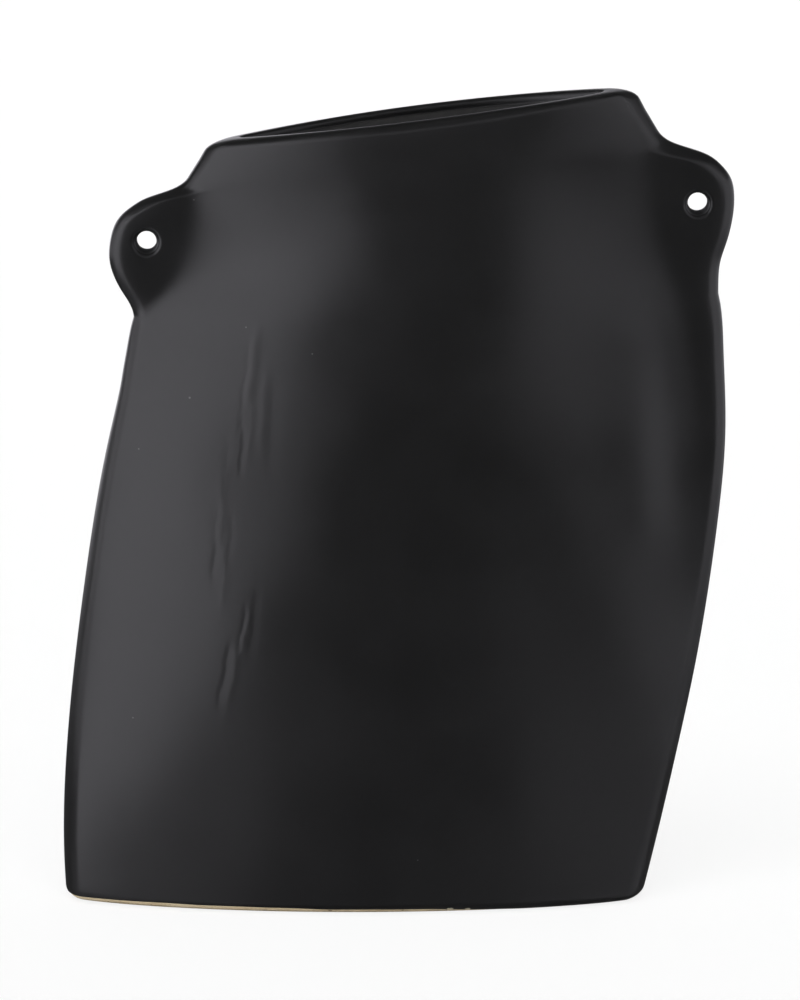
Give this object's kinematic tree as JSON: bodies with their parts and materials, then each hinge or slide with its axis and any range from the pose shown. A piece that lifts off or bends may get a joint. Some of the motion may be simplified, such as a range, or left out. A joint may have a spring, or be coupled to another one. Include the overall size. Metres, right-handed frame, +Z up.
{
  "type": "pillow vase",
  "caption": "Flat pillow-shaped stoneware vase that leans to one side, with a slanted narrow mouth and a pierced ear on each shoulder, in matt black glaze over a bare clay foot.",
  "frame": {"origin": "bottom centre of the vase's box, on the table under the middle of its width and depth", "axes": "+Z up, +X to the right seen from the front, along the broad face, and -Y towards the front; the vase leans towards +X and its lip falls towards -X"},
  "size_m": [0.2455, 0.084, 0.3015],
  "materials": {
    "bare_stoneware": "unglazed, fine grained",
    "matt_black_glaze": "satin matt",
    "black_liner_glaze": "satin"
  },
  "bodies": {
    "root": {"foot_rim": "bare_stoneware", "floor_slab": "bare_stoneware", "front_wall": "bare_stoneware", "rear_wall": "bare_stoneware", "lip_ring": "bare_stoneware", "left_ear": "bare_stoneware", "right_ear": "bare_stoneware", "outer_glaze": "matt_black_glaze", "inner_glaze": "black_liner_glaze"}
  },
  "joints": []
}
